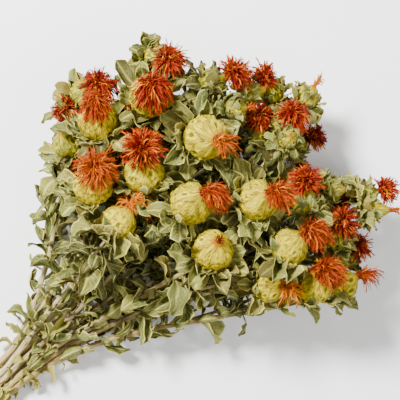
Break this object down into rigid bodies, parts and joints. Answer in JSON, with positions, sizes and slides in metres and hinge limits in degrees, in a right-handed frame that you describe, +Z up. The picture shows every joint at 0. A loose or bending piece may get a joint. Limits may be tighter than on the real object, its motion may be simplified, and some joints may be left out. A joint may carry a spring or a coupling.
{
  "type": "dried safflower bunch",
  "caption": "Bunch of dried safflower stems lying down, with curled leaves, round green flower heads in leafy bracts and tufts of orange florets.",
  "frame": {"origin": "middle of the bunch's footprint, on the surface that it lies on", "axes": "+X along the bunch from the cut ends to the flowers, +Y to the left of that way, +Z up"},
  "size_m": [0.4654, 0.2871, 0.1459],
  "materials": {
    "spray": "matte, dry and papery",
    "floret": "matte, dry and fibrous"
  },
  "bodies": {
    "root": {"spray_a": "spray", "spray_b": "spray", "spray_c": "spray", "spray_d": "spray", "spray_e": "spray", "spray_f": "spray", "spray_g": "spray", "spray_h": "spray", "spray_i": "spray", "spray_j": "spray", "spray_k": "spray", "spray_l": "spray", "spray_m": "spray", "spray_n": "spray", "tuft_01": "floret", "tuft_02": "floret", "tuft_03": "floret", "tuft_04": "floret", "tuft_05": "floret", "tuft_06": "floret", "tuft_07": "floret", "tuft_08": "floret", "tuft_09": "floret", "tuft_10": "floret", "tuft_11": "floret", "tuft_12": "floret", "tuft_13": "floret", "tuft_14": "floret", "tuft_15": "floret", "tuft_16": "floret", "tuft_17": "floret", "tuft_18": "floret", "tuft_19": "floret", "tuft_20": "floret", "tuft_21": "floret", "tuft_22": "floret", "tuft_23": "floret", "tuft_24": "floret", "tuft_25": "floret", "tuft_26": "floret", "tuft_27": "floret", "tuft_28": "floret", "tuft_29": "floret", "tuft_30": "floret", "tuft_31": "floret", "tuft_32": "floret", "tuft_33": "floret", "tuft_34": "floret", "tuft_35": "floret"}
  },
  "joints": []
}
